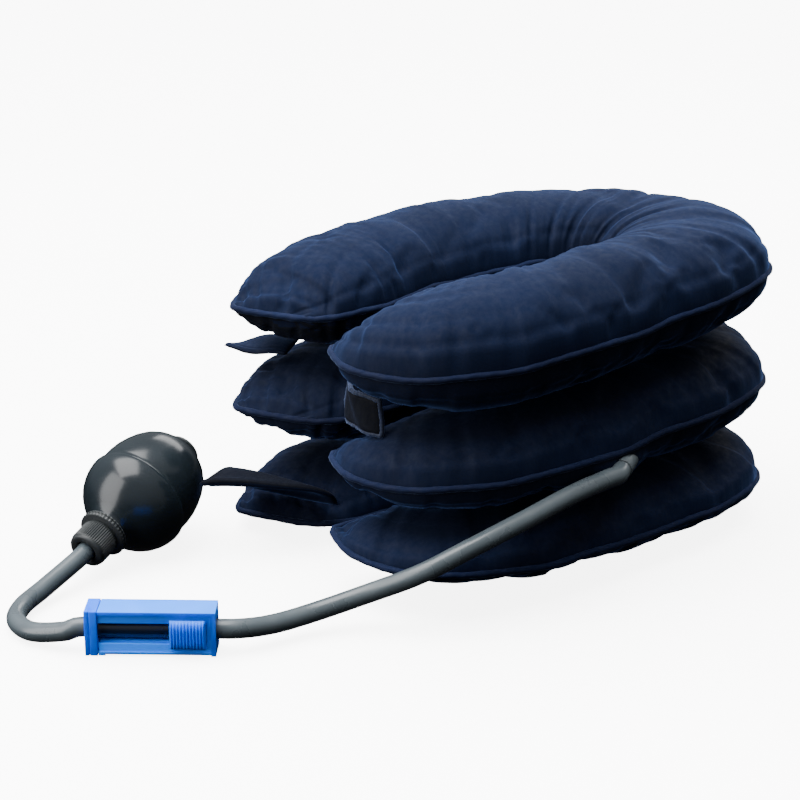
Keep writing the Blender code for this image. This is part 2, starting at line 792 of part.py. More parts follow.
def straps():
    """The hook straps at the far arm's end, and the loop tab at the near arm's."""
    look = (NAVY, 0.85)
    sizes = (LOWER_STRAP, LOWER_STRAP_HALF, LOWER_STRAP_ACROSS)
    lower = strap("lower_strap", *sizes, STRAP_T, look)
    sizes = (UPPER_STRAP, UPPER_STRAP_HALF, UPPER_STRAP_ACROSS)
    upper = strap("upper_strap", *sizes, STRAP_T, look)
    hang_from(lower, place(LOWER_STRAP[0]))
    hang_from(upper, place(UPPER_STRAP[0]))
    bm = bmesh.new()
    foot = [place(p) - Vector((0, 0, LOOP_TAB_HEIGHT / 2)) for p in LOOP_TAB]
    grid = [
        [bm.verts.new(spot + Vector((0, 0, LOOP_TAB_HEIGHT * t))) for t in (0, 0.5, 1)]
        for spot in foot
    ]
    grid_faces(bm, grid, flip=False)
    tab = add("loop_tab", mesh_from("loop_tab", bm), ((0.015, 0.02, 0.04), 0.95))
    wall = tab.modifiers.new("Cloth", "SOLIDIFY")
    wall.thickness = LOOP_TAB_T
    wall.offset = 0


# ---- assembly -----------------------------------------------------------------------------------
tier_pieces()
for link in LINKS:
    air_link(*link)
hose_stem()
air_hose()
clamp()
bulb_pieces()
straps()
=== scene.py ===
"""Cervical traction device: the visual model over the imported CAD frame.

Frame: +Z up, the collar's open front faces -Y and the nape is at +Y. Route and outline
points are in millimetres in the ribs' own coordinates; place() turns them into the frame's
metres.
"""

import math
from typing import NamedTuple

import bmesh
import bpy
import numpy as np
from mathutils import Matrix, Vector


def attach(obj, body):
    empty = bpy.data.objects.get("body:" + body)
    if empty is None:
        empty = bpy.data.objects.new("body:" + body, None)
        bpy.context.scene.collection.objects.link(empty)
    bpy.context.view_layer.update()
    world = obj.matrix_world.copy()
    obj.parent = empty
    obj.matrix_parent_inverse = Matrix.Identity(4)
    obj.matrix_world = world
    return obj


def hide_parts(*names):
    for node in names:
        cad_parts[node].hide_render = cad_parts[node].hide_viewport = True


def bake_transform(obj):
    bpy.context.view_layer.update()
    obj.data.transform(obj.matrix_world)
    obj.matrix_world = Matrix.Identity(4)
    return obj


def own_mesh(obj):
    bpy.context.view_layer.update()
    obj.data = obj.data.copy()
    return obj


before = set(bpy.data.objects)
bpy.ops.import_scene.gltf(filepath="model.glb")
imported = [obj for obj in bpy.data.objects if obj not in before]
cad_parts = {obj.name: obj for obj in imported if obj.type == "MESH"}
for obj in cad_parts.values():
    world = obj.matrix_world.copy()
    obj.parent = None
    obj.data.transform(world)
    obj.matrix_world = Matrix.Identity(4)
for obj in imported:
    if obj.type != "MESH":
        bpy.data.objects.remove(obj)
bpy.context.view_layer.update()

MM = 0.001
SHIFT = Vector((5.6 * MM, 38.5 * MM, 0))


def place(point):
    """A point in the ribs' millimetres, as world metres."""
    return Vector(point) * MM + SHIFT


def link(name, data):
    made = bpy.data.objects.new(name, data)
    bpy.context.scene.collection.objects.link(made)
    return made


# ---- camera ----------------------------------------------------------------------------------
CAMERA_AT = Vector((0.841, -0.5446, 0.4374))
CAMERA_AZIMUTH = math.radians(58)
CAMERA_ELEVATION = math.radians(20)
CAMERA_LENS = 98.55

camera_data = bpy.data.cameras.new("camera")
camera_data.lens = CAMERA_LENS
camera = link("camera", camera_data)
camera.location = CAMERA_AT
camera.rotation_euler = (math.radians(90) - CAMERA_ELEVATION, 0, CAMERA_AZIMUTH)
bpy.context.scene.camera = camera


# ---- curves and grids ------------------------------------------------------------------------
def smooth(points, count):
    """Count points evenly spaced on the Catmull-Rom curve through points, and its length."""
    knots = [np.array(p, float) for p in points]
    knots = [2 * knots[0] - knots[1], *knots, 2 * knots[-1] - knots[-2]]
    fine = []
    for a, b, c, d in zip(knots, knots[1:], knots[2:], knots[3:]):
        for t in np.linspace(0, 1, 24, endpoint=False):
            pull = 2 * b + (c - a) * t + (2 * a - 5 * b + 4 * c - d) * t**2
            fine.append((pull + (3 * b - a - 3 * c + d) * t**3) / 2)
    fine = np.array([*fine, knots[-2]])
    reach = np.concatenate([[0], np.cumsum(np.linalg.norm(np.diff(fine, axis=0), axis=1))])
    where = np.linspace(0, reach[-1], count)
    return np.column_stack([np.interp(where, reach, axis) for axis in fine.T]), reach[-1]


def mesh_object(name, points, faces, sharp=None):
    """A smooth-shaded mesh object; edges over sharp degrees stay hard."""
    data = bpy.data.meshes.new(name)
    data.from_pydata([tuple(p) for p in points], [], faces)
    data.validate()
    data.shade_smooth()
    if sharp:
        data.set_sharp_from_angle(angle=math.radians(sharp))
    return link(name, data)


def grid_faces(rows, columns, start=0, wrap_rows=False, wrap_columns=False):
    """Quads over a row-major grid of vertices."""
    faces = []
    for i in range(rows if wrap_rows else rows - 1):
        for j in range(columns if wrap_columns else columns - 1):
            i2, j2 = (i + 1) % rows, (j + 1) % columns
            faces.append(
                (
                    start + i * columns + j,
                    start + i2 * columns + j,
                    start + i2 * columns + j2,
                    start + i * columns + j2,
                )
            )
    return faces


def tube(name, line, radius, sides=24, closed=False, ripple=None):
    """A round tube along a line of points, its frame carried along without twist.

    ripple(step, angle) gives a share that the radius grows by."""
    line = [Vector(p) for p in line]
    count = len(line)
    side = None
    points = []
    for k, spot in enumerate(line):
        before = line[k - 1] if k or closed else line[0]
        after = line[(k + 1) % count] if k < count - 1 or closed else line[-1]
        ahead = (after - before).normalized()
        if side is None:
            side = ahead.orthogonal().normalized()
        side = (side - ahead * side.dot(ahead)).normalized()
        over = ahead.cross(side)
        for step in range(sides):
            angle = math.tau * step / sides
            grown = radius * (1 + (ripple(k, angle) if ripple else 0))
            points.append(spot + (side * math.cos(angle) + over * math.sin(angle)) * grown)
    faces = grid_faces(count, sides, wrap_rows=closed, wrap_columns=True)
    if not closed:
        faces.append(tuple(range(sides)))
        faces.append(tuple(reversed(range((count - 1) * sides, count * sides))))
    return mesh_object(name, points, [tuple(reversed(f)) for f in faces], sharp=60)


def lathe(name, profile, matrix, steps=96, tooth=None, sharp=35):
    """A closed profile of (radius, height) in mm turned about local Z.

    tooth(height, radius, angle) is added to the radius, in mm."""
    points = []
    for step in range(steps):
        angle = math.tau * step / steps
        for radius, height in profile:
            r = radius + (tooth(height, radius, angle) if tooth else 0)
            points.append(Vector((r * math.cos(angle), r * math.sin(angle), height)) * MM)
    columns = len(profile)
    faces = grid_faces(steps, columns, wrap_rows=True, wrap_columns=True)
    made = mesh_object(name, points, faces, sharp=sharp)
    made.data.transform(matrix)
    weld(made)
    return made


def weld(obj, distance=1e-6):
    bm = bmesh.new()
    bm.from_mesh(obj.data)
    bmesh.ops.remove_doubles(bm, verts=bm.verts, dist=distance)
    bmesh.ops.recalc_face_normals(bm, faces=bm.faces)
    bm.to_mesh(obj.data)
    bm.free()


def axis_matrix(origin, direction):
    """A matrix that puts local +Z along direction and local 0 at origin."""
    turn = direction.to_track_quat("Z", "Y").to_matrix().to_4x4()
    return Matrix.Translation(origin) @ turn


# ---- materials -------------------------------------------------------------------------------
class Shader:
    """A Principled material under construction: constants on its sockets, textures by name."""

    def __init__(self, name, **sockets):
        self.material = bpy.data.materials.new(name)
        self.material.use_nodes = True
        self.tree = self.material.node_tree
        self.shader = self.tree.nodes["Principled BSDF"]
        for socket, value in sockets.items():
            self.shader.inputs[socket.replace("_", " ")].default_value = value
        self.coords = self.tree.nodes.new("ShaderNodeTexCoord").outputs["Object"]
        self.normal = None

    def wire(self, source, target):
        self.tree.links.new(source, target)

    def noise(self, scale, detail=3.0, roughness=0.5, stretch=None, distortion=0.0):
        node = self.tree.nodes.new("ShaderNodeTexNoise")
        node.inputs["Scale"].default_value = scale
        node.inputs["Detail"].default_value = detail
        node.inputs["Roughness"].default_value = roughness
        node.inputs["Distortion"].default_value = distortion
        source = self.coords
        if stretch:
            mapping = self.tree.nodes.new("ShaderNodeMapping")
            mapping.inputs["Scale"].default_value = stretch
            self.wire(self.coords, mapping.inputs["Vector"])
            source = mapping.outputs["Vector"]
        self.wire(source, node.inputs["Vector"])
        return node.outputs["Fac"]

    def within(self, point, low, high):
        """1 nearer than low to a point of the object, 0 farther than high."""
        node = self.tree.nodes.new("ShaderNodeVectorMath")
        node.operation = "DISTANCE"
        node.inputs[1].default_value = point
        self.wire(self.coords, node.inputs[0])
        return self.ramp(node.outputs["Value"], low, high, 1.0, 0.0)

    def edges(self, low, high):
        """0 in hollows and on flats, 1 on ridges and edges."""
        geometry = self.tree.nodes.new("ShaderNodeNewGeometry")
        return self.ramp(geometry.outputs["Pointiness"], low, high)

    def ramp(self, source, low, high, start=0.0, stop=1.0):
        node = self.tree.nodes.new("ShaderNodeMapRange")
        node.inputs["From Min"].default_value = low
        node.inputs["From Max"].default_value = high
        node.inputs["To Min"].default_value = start
        node.inputs["To Max"].default_value = stop
        self.wire(source, node.inputs["Value"])
        return node.outputs["Result"]

    def math(self, operation, a, b):
        node = self.tree.nodes.new("ShaderNodeMath")
        node.operation = operation
        for socket, value in zip(node.inputs, (a, b)):
            if isinstance(value, (int, float)):
                socket.default_value = value
            else:
                self.wire(value, socket)
        return node.outputs[0]

    def mix(self, share, a, b):
        """A colour between a and b, each a colour or another mix."""
        node = self.tree.nodes.new("ShaderNodeMix")
        node.data_type = "RGBA"
        self.wire(share, node.inputs[0])
        for socket, value in ((node.inputs[6], a), (node.inputs[7], b)):
            if isinstance(value, tuple):
                socket.default_value = (*value, 1)
            else:
                self.wire(value, socket)
        return node.outputs[2]

    def color(self, source):
        self.wire(source, self.shader.inputs["Base Color"])
        return self

    def roughness(self, source, low, high):
        self.wire(self.ramp(source, 0.3, 0.7, low, high), self.shader.inputs["Roughness"])
        return self

    def bump(self, height, strength, distance):
        node = self.tree.nodes.new("ShaderNodeBump")
        node.inputs["Strength"].default_value = strength
        node.inputs["Distance"].default_value = distance
        self.wire(height, node.inputs["Height"])
        if self.normal:
            self.wire(self.normal, node.inputs["Normal"])
        self.normal = node.outputs["Normal"]
        self.wire(self.normal, self.shader.inputs["Normal"])
        return self


def velour(name, deep, light, tint, sheen=0.5, pile=0.5):
    """Short-pile navy velour: mottled nap, fine pile bump and a soft blue sheen."""
    made = Shader(name, Roughness=0.85, Sheen_Weight=sheen, Sheen_Roughness=0.3)
    made.shader.inputs["Sheen Tint"].default_value = (*tint, 1)
    made.shader.inputs["Specular IOR Level"].default_value = 0.18
    patches = made.noise(16, detail=2, roughness=0.4, distortion=0.3)
    nap = made.noise(320, detail=3, roughness=0.65, stretch=(1.0, 1.0, 0.35))
    fuzz = made.noise(1900, detail=2, roughness=0.7)
    base = made.mix(made.ramp(patches, 0.35, 0.68), deep, light)
    base = made.mix(made.ramp(nap, 0.35, 0.8, 0, 0.14), base, light)
    made.color(base)
    made.roughness(nap, 0.72, 0.95)
    made.bump(nap, 0.10 * pile, 0.4 * MM)
    made.bump(fuzz, 0.7 * pile, 0.2 * MM)
    return made.material


NAVY_DEEP = (0.0009, 0.0032, 0.0135)
NAVY_LIGHT = (0.0014, 0.0046, 0.0190)
VELOUR = velour("navy_velour", NAVY_DEEP, NAVY_LIGHT, (0.20, 0.38, 1.0), sheen=0.26)
TRIM = velour(
    "navy_trim", (0.0016, 0.0036, 0.015), (0.0034, 0.0074, 0.028), (0.4, 0.55, 1.0), 0.24, pile=0.35
)
PILE = velour("loop_pile", (0.0006, 0.0010, 0.0030), (0.0022, 0.0034, 0.0080), (0.3, 0.42, 0.9), 0.04, 1.4)


def woven_edge():
    """Binding tape: fine diagonal ribs over navy."""
    made = Shader("binding", Roughness=0.8, Sheen_Weight=0.5, Sheen_Roughness=0.4)
    made.shader.inputs["Sheen Tint"].default_value = (0.4, 0.55, 1.0, 1)
    ribs = made.noise(700, detail=1, stretch=(1, 1, 0.25))
    made.color(made.mix(ribs, (0.003, 0.006, 0.02), (0.008, 0.015, 0.042)))
    made.bump(ribs, 0.7, 0.3 * MM)
    made.roughness(ribs, 0.65, 0.9)
    return made.material


BINDING = woven_edge()


def hose_rubber():
    made = Shader("hose_grey", Roughness=0.28, Coat_Weight=0.25, Coat_Roughness=0.25)
    made.shader.inputs["Specular IOR Level"].default_value = 0.6
    smear = made.noise(55, detail=4, roughness=0.6)
    dust = made.noise(600, detail=3, roughness=0.7)
    base = made.mix(made.ramp(smear, 0.35, 0.7), (0.046, 0.058, 0.066), (0.058, 0.072, 0.081))
    base = made.mix(made.ramp(dust, 0.66, 0.85, 0, 0.12), base, (0.075, 0.085, 0.092))
    # Painted shade: near the clamp's middle the hose turns dark navy-blue, standing for the shade and blue
    # cast inside the clamp.
    clamp_shade_centre = tuple(place(CLAMP_MID))
    base = made.mix(made.within(clamp_shade_centre, 25 * MM, 28 * MM), base, (0.002, 0.008, 0.028))
    made.color(base)
    made.roughness(smear, 0.22, 0.4)
    made.bump(dust, 0.05, 0.12 * MM)
    return made.material


def bulb_rubber():
    made = Shader("bulb_rubber", Roughness=0.34, Coat_Weight=0.12, Coat_Roughness=0.2)
    made.shader.inputs["Specular IOR Level"].default_value = 0.5
    smear = made.noise(38, detail=5, roughness=0.6, distortion=0.4)
    skin = made.noise(420, detail=4, roughness=0.65)
    made.color(made.mix(made.ramp(smear, 0.3, 0.75), (0.0055, 0.0085, 0.0110), (0.0095, 0.0140, 0.0175)))
    made.roughness(smear, 0.17, 0.27)
    made.bump(skin, 0.10, 0.12 * MM)
    return made.material


def moulded_black(name, rough=0.42):
    made = Shader(name, Roughness=rough)
    grain = made.noise(900, detail=3, roughness=0.6)
    # Paler on ridges and edges: partly rubbed wear, partly a painted highlight.
    edge_wear_and_highlight = made.edges(0.52, 0.62)
    made.color(made.mix(edge_wear_and_highlight, (0.010, 0.012, 0.013), (0.05, 0.055, 0.058)))
    made.roughness(grain, rough - 0.1, rough + 0.15)
    made.bump(grain, 0.2, 0.1 * MM)
    return made.material


def clamp_plastic(name, deep, light):
    made = Shader(name, Roughness=0.4)
    made.shader.inputs["Specular IOR Level"].default_value = 0.22
    made.shader.inputs["Subsurface Weight"].default_value = 0.25
    made.shader.inputs["Subsurface Radius"].default_value = (0.3, 0.6, 1.0)
    made.shader.inputs["Subsurface Scale"].default_value = 1.5 * MM
    flow = made.noise(90, detail=3, roughness=0.5, distortion=0.5)
    grain = made.noise(1300, detail=2)
    base = made.mix(made.ramp(flow, 0.35, 0.7), deep, light)
    # Painted highlight: ridges and edges are mixed towards a paler azure.
    made.color(made.mix(made.math("MULTIPLY", made.edges(0.52, 0.66), 0.6), base, (0.02, 0.26, 0.95)))
    made.roughness(flow, 0.3, 0.44)
    made.bump(grain, 0.12, 0.08 * MM)
    return made.material


def steel():
    made = Shader("valve_steel", Metallic=1.0, Roughness=0.25)
    scratch = made.noise(500, detail=3, stretch=(1, 1, 0.2))
    made.color(made.mix(scratch, (0.5, 0.51, 0.52), (0.66, 0.67, 0.68)))
    made.roughness(scratch, 0.18, 0.34)
    return made.material


def air_rubber():
    made = Shader("air_rubber", Roughness=0.45)
    cloud = made.noise(60, detail=3)
    made.color(made.mix(cloud, (0.05, 0.055, 0.062), (0.085, 0.09, 0.1)))
    made.bump(cloud, 0.2, 0.3 * MM)
    return made.material


BULB = bulb_rubber()
KNURL = moulded_black("nut_plastic", 0.45)
RING = moulded_black("ring_plastic", 0.34)
VALVE = moulded_black("valve_plastic", 0.38)
AZURE = clamp_plastic("clamp_blue", (0.0, 0.085, 0.70), (0.0, 0.115, 0.86))
AZURE_GRIP = clamp_plastic("slider_blue", (0.0, 0.125, 0.84), (0.01, 0.165, 0.95))
STEEL = steel()
AIR = air_rubber()


def finish_piece(obj, material, body, slot, *replaced):
    """Material, body and the CAD nodes that a piece stands for; the slot argument is not used."""
    obj.data.materials.clear()
    obj.data.materials.append(material)
    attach(obj, body)
    if replaced:
        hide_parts(*replaced)
    return obj


def cad_look(node, material):
    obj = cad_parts[node]
    obj = bpy.data.objects[obj] if isinstance(obj, str) else obj
    for slot in obj.material_slots:
        slot.material = material


# ---- the hose --------------------------------------------------------------------------------
STEM_TIP = (91, 3, 60.5)
STEM_DIR = Vector((0.62, -0.78, -0.08)).normalized()
HOSE_R = 4.5 * MM
CLAMP_MID = (35.4, -209.2, 11.1)
CLAMP_YAW = math.radians(56.5)
CLAMP_DIR = Vector((-math.cos(CLAMP_YAW), -math.sin(CLAMP_YAW), 0))
CLAMP_REACH = 35 * MM  # from the clamp's middle to where the hose bends again
NUT_FRONT = (-50.5, -205.5, 14.6)
BULB_YAW = math.radians(118)
BULB_PITCH = math.radians(16.5)
BULB_DIR = Vector(
    (
        math.cos(BULB_YAW) * math.cos(BULB_PITCH),
        math.sin(BULB_YAW) * math.cos(BULB_PITCH),
        math.sin(BULB_PITCH),
    )
)
ROUTE_TO_CLAMP = (
    (95.5, -9, 59.5),
    (96.5, -30, 56.5),
    (96, -56, 49.5),
    (92, -82, 40.5),
    (82, -102, 29),
    (66, -121, 17.5),
    (57, -143, 10.5),
    (56, -163, 9.5),
)
ROUTE_TO_NUT = (
    (11.5, -244.5, 8.5),
    (-2, -254, 5.4),
    (-17, -255, 4.9),
    (-29, -247, 5.2),
    (-38, -233, 6.8),
)
HOSE_STEP = 2.4 * MM


def hose_line():
    start = place(STEM_TIP) + STEM_DIR * 0.6 * MM
    middle = place(CLAMP_MID)
    reach = CLAMP_DIR * CLAMP_REACH
    nut = place(NUT_FRONT)
    knots = [
        start,
        start + STEM_DIR * 6 * MM,
        *[place(p) for p in ROUTE_TO_CLAMP],
        middle - reach,
        middle - reach / 2,
        middle,
        middle + reach / 2,
        middle + reach,
        *[place(p) for p in ROUTE_TO_NUT],
        nut - BULB_DIR * 6 * MM,
        nut,
        nut + BULB_DIR * 5.4 * MM,
    ]
    _, length = smooth(knots, count=2)
    line, _ = smooth(knots, count=round(length / HOSE_STEP))
    return [Vector(p) for p in line], length


hose_path, hose_length = hose_line()
hose = tube("air_hose_visual", hose_path, HOSE_R, sides=32)
HOSE = hose_rubber()
hose.data.materials.append(HOSE)
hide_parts("air_hose")
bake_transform(hose)


# ---- the collar's shape ----------------------------------------------------------------------
RIBS = (
    (13, -114, 14, -43),
    (44, -114, 17, -42),
    (74, -94, 19, -36),
    (89, -58, 20, -23),
    (91, -13, 18, -3),
    (84, 32, 14, 20),
    (77, 75, 9, 40),
    (56, 118, 2, 56),
    (9, 132, -7, 62),
    (-40, 114, -18, 54),
    (-79, 76, -25, 38),
    (-99, 34, -28, 18),
    (-105, -12, -29, -6),
    (-101, -58, -26, -36),
    (-90, -93, -19, -62),
    (-72, -119, -8, -82),
)
CORNER = 42 * MM
CORNER_CUT = 0.56
END_TAPER = 54 * MM
CROWN_POWER = 2.3
LIFT_POWER = 1.5
PIPING_R = 1.55 * MM


class Tier(NamedTuple):
    name: str
    body: str
    seam_z: float
    slope: float
    lift: float
    rise: float
    rise_loss: float
    drop: float  # 0 lays the underside on the floor
    drop_loss: float
    seed: float


TIERS = (
    Tier("bottom", "collar_base", 14.5 * MM, 0.04, 17 * MM, 28 * MM, 9 * MM, 0, 0, 1.3),
    Tier("middle", "middle_tier", 68.5 * MM, 0.038, 0, 28 * MM, 0, 27 * MM, 7 * MM, 4.1),
    Tier("top", "top_tier", 123 * MM, 0.064, 0, 29.5 * MM, -7 * MM, 29 * MM, 0, 7.7),
)

RIB_POINTS = [
    [(xo * MM + SHIFT.x), (yo * MM + SHIFT.y), (xi * MM + SHIFT.x), (yi * MM + SHIFT.y)]
    for xo, yo, xi, yi in RIBS
]
FINE_RIBS, _ = smooth(RIB_POINTS, count=400)
MIDDLES = (FINE_RIBS[:, :2] + FINE_RIBS[:, 2:]) / 2
ALONG = np.concatenate([[0], np.cumsum(np.linalg.norm(np.diff(MIDDLES, axis=0), axis=1))])
LENGTH = ALONG[-1]


def station(length):
    """Outer and inner seam points of the collar at a length along its middle line."""
    rib = np.array([np.interp(length, ALONG, axis) for axis in FINE_RIBS.T])
    outer, inner = rib[:2], rib[2:]
    end = min(length, LENGTH - length)
    round_off = 1 - math.sqrt(max(0, 1 - (1 - min(1, end / CORNER)) ** 2))
    pinch = CORNER_CUT * round_off
    return outer + (inner - outer) * pinch * 0.2, inner + (outer - inner) * pinch * 0.8


def near_share(length):
    """1 at the near arm's end, 0 from the nape on."""
    return max(0, 1 - 2 * length / LENGTH) ** LIFT_POWER


def seam_height(tier, length, y):
    return tier.seam_z + tier.slope * (y - SHIFT.y) + tier.lift * near_share(length)


def bulge(tier, side, length, seam):
    share = near_share(length)
    if side > 0:
        return tier.rise - tier.rise_loss * share
    if tier.drop:
        return tier.drop - tier.drop_loss * share
    return seam - tier.lift * share


def crown(across):
    return (1 - abs(2 * across - 1) ** CROWN_POWER) ** (1 / CROWN_POWER)


def thinning(length):
    end = min(length, LENGTH - length)
    return math.sqrt(max(0, 1 - (1 - min(1, end / END_TAPER)) ** 2))


SEAM_WAVE = 0.9 * MM


def seam_wave(tier, length):
    """The seam's own small waves, up and down, where the puckers pull it."""
    s = length / MM + 37 * tier.seed
    wave = math.sin(s / 7.3) + 0.7 * math.sin(s / 11.9 + 1.7) + 0.5 * math.sin(s / 4.4 + 0.6)
    return SEAM_WAVE * wave / 2.2


NU, NV = 150, 26
START = 0.86  # share of the full bulge that the simulation starts from


def start_grids(tier, start):
    """Top and underside grids of a tier before it is blown up, with a shared rim."""
    u = np.linspace(0, 1, NU + 1)
    lengths = LENGTH * (u - 0.35 * np.sin(math.tau * u) / math.tau)
    v = np.linspace(0, 1, NV + 1)
    across = 0.6 * (1 - np.cos(np.pi * v)) / 2 + 0.4 * v
    grids = np.zeros((2, NU + 1, NV + 1, 3))
    for i, length in enumerate(lengths):
        outer, inner = station(length)
        thin = thinning(length)
        for j, t in enumerate(across):
            x, y = outer + (inner - outer) * t
            seam = seam_height(tier, length, y)
            waved = seam + seam_wave(tier, length + (0 if t < 0.5 else 0.3)) * abs(2 * t - 1) ** 3
            for side, sign in enumerate((1, -1)):
                high = bulge(tier, sign, length, seam) * crown(t) * thin * start
                grids[side, i, j] = (x, y, waved + sign * high)
    return grids, lengths, across


def closed_mesh(grids):
    """Vertices and faces of two grids that share their rim, and each grid's vertex numbers."""
    rows, columns = grids.shape[1:3]
    rim = np.zeros((rows, columns), bool)
    rim[[0, -1], :] = True
    rim[:, [0, -1]] = True
    top = np.arange(rows * columns).reshape(rows, columns)
    under = top.copy()
    inside = ~rim
    under[inside] = rows * columns + np.arange(inside.sum())
    points = np.vstack([grids[0].reshape(-1, 3), grids[1][inside]])
    faces = []
    for numbers, flip in ((top, True), (under, False)):
        for i in range(rows - 1):
            for j in range(columns - 1):
                a, b = numbers[i, j], numbers[i, j + 1]
                c, d = numbers[i + 1, j + 1], numbers[i + 1, j]
                faces.append((a, d, c, b) if flip else (a, b, c, d))
    return points, [tuple(int(k) for k in f) for f in faces], top, under


SIM_FRAMES = 20


def blow_up(tier, grids):
    """Inflates a tier's cover as cloth; its rim is held in the seam."""
    points, faces, top, under = closed_mesh(grids)
    data = bpy.data.meshes.new("inflating")
    data.from_pydata([tuple(p) for p in points], [], faces)
    cover = link("inflating", data)
    held = cover.vertex_groups.new(name="held")
    rim = np.unique(top[(top == under)])
    held.add([int(k) for k in rim], 1.0, "REPLACE")
    cloth = cover.modifiers.new("Cloth", "CLOTH")
    settings = cloth.settings
    settings.vertex_group_mass = "held"
    settings.pin_stiffness = 1
    settings.quality = 8
    settings.mass = 0.15
    settings.air_damping = 2
    settings.tension_stiffness = settings.compression_stiffness = 8
    settings.shear_stiffness = 4
    settings.bending_stiffness = 1.0
    settings.tension_damping = settings.compression_damping = settings.shear_damping = 5
    settings.bending_damping = 0.5
    settings.use_pressure = True
    settings.uniform_pressure_force = 5
    settings.shrink_min = -0.008
    settings.effector_weights.gravity = 0
    cloth.collision_settings.use_collision = False
    cloth.collision_settings.use_self_collision = False
    cloth.point_cache.frame_start = 1
    cloth.point_cache.frame_end = SIM_FRAMES
    for step in range(1, SIM_FRAMES + 1):
        bpy.context.scene.frame_set(step)
    shown = cover.evaluated_get(bpy.context.evaluated_depsgraph_get())
    blown = np.array([v.co[:] for v in shown.data.vertices])
    bpy.data.objects.remove(cover, do_unlink=True)
    bpy.context.scene.frame_set(1)
    return np.stack([blown[top], blown[under]])


def refine(values, axis):
    """Doubles a grid's rows along an axis with cubic interpolation."""
    values = np.moveaxis(values, axis, 0)
    padded = np.concatenate([[2 * values[0] - values[1]], values, [2 * values[-1] - values[-2]]])
    halves = (9 * (padded[1:-2] + padded[2:-1]) - padded[:-3] - padded[3:]) / 16
    out = np.empty((2 * len(values) - 1, *values.shape[1:]))
    out[::2] = values
    out[1::2] = halves
    return np.moveaxis(out, 0, axis)


def normals_of(grid):
    du = np.gradient(grid, axis=0)
    dv = np.gradient(grid, axis=1)
    n = np.cross(du, dv)
    return n / np.maximum(np.linalg.norm(n, axis=-1, keepdims=True), 1e-12)


def wander(s, seed, pitch):
    """Smooth irregular waves along s, about pitch apart, from -1 to 1."""
    out = 0
    for k, (share, weight) in enumerate(((1.0, 1.0), (0.61, 0.7), (1.73, 0.6), (0.37, 0.5))):
        out = out + weight * np.sin(math.tau * s * share / pitch + seed * (k + 1.7) * 2.1)
    return out / 2.2


def creases(s, seed, pitch, sharp=1.8):
    """Narrow irregular valleys along s, 0 to 1."""
    return (1 / (1 + np.exp(0.9 - 4.5 * wander(s, seed, pitch)))) ** sharp


STEM_SPOT = np.array(place(STEM_TIP)[:2])
POCKET_AT = ALONG[np.argmin(np.linalg.norm(FINE_RIBS[:, :2] - STEM_SPOT, axis=1))]
BENDS = ((0.13, 0.07), (0.34, 0.06), (0.5, 0.09), (0.66, 0.07), (0.86, 0.07))  # middle, spread

# Puckers, folds and stitching, in mm
PUCKER_DEPTH = 2.4
PUCKER_START = 1.6  # the stretch at a seam over which a pucker sinks in
PUCKER_SLANT = 0.16  # how far a pucker leans along the seam for each mm in from it
SIDE_PITCH, SIDE_REACH, SIDE_SPREAD = 17, 12, 9
END_PITCH, END_REACH, END_SPREAD = 14, 14, 10
STITCH_INSET, STITCH_WIDTH = 4.2, 1.0
SIDE_STITCH, END_STITCH = 0.45, 0.4
FAN_DEPTH, FAN_PITCH, FAN_SHARP = 1.4, 15, 1.6
FOLD_DEPTH, FOLD_PITCH, FOLD_LEAN, FOLD_END = 1.1, 46, 9, 30
POCKET_DEPTH, POCKET_LENGTH, POCKET_WIDTH, POCKET_INSET = 4.5, 17, 9, 6
RIM_EASE = 0.8


def pucker(distance, along, reach, pitch, seed):
    """Depth of the puckers that run in from a seam."""
    sunk = 1 - np.exp(-distance / PUCKER_START)
    return PUCKER_DEPTH * creases(along, seed, pitch) * np.exp(-distance / reach) * sunk


def stitch_groove(distance, depth):
    return depth * np.exp(-(((distance - STITCH_INSET) / STITCH_WIDTH) ** 2))


def wrinkle(tier, side, lengths, across, widths):
    """How far a cover's points are pushed in, in metres. It bulges out over the hose's stem."""
    s = (lengths / MM)[:, None] + 0 * across[None, :]
    t = across[None, :]
    width = (widths / MM)[:, None]
    seed = tier.seed + 0.9 * side
    end = np.minimum(s, LENGTH / MM - s)
    strong = 0.85 + 0.3 * np.cos(2 * math.tau * s * MM / LENGTH)
    depth = 0
    for distance, salt in ((t * width, 0.0), ((1 - t) * width, 5.3)):
        reach = SIDE_REACH + SIDE_SPREAD * (1 + wander(s, seed + salt + 2.2, 47))
        leaning = s + PUCKER_SLANT * distance
        depth = depth + strong * pucker(distance, leaning, reach, SIDE_PITCH, seed + salt)
        depth = depth + stitch_groove(distance, SIDE_STITCH)
    reach = END_REACH + END_SPREAD * (1 + wander(t * width, seed + 8.1, 31))
    depth = depth + pucker(end, t * width, reach, END_PITCH, seed + 3.3)
    depth = depth + stitch_groove(end, END_STITCH)
    bend = sum(np.exp(-(((s * MM / LENGTH - at) / spread) ** 2)) for at, spread in BENDS)
    inner = np.clip((t - 0.18) / 0.82, 0, 1) ** 1.3
    fan = creases(s, seed + 6.4, FAN_PITCH, FAN_SHARP)
    depth = depth + FAN_DEPTH * fan * np.clip(bend, 0, 1) * inner * (1 - t**14)
    folds = wander(s + FOLD_LEAN * t, seed + 1.1, FOLD_PITCH)
    depth = depth + FOLD_DEPTH * folds * (1 - (2 * t - 1) ** 4) * np.clip(end / FOLD_END, 0, 1)
    if tier.name == "middle" and side:
        away = ((s - POCKET_AT / MM) / POCKET_LENGTH) ** 2
        away = away + ((t * width - POCKET_INSET) / POCKET_WIDTH) ** 2
        depth = depth * (1 - 0.8 * np.exp(-away)) - POCKET_DEPTH * np.exp(-away)
    rim = np.clip(np.minimum(np.minimum(t, 1 - t) * width, end) / RIM_EASE, 0, 1)
    return depth * rim * MM


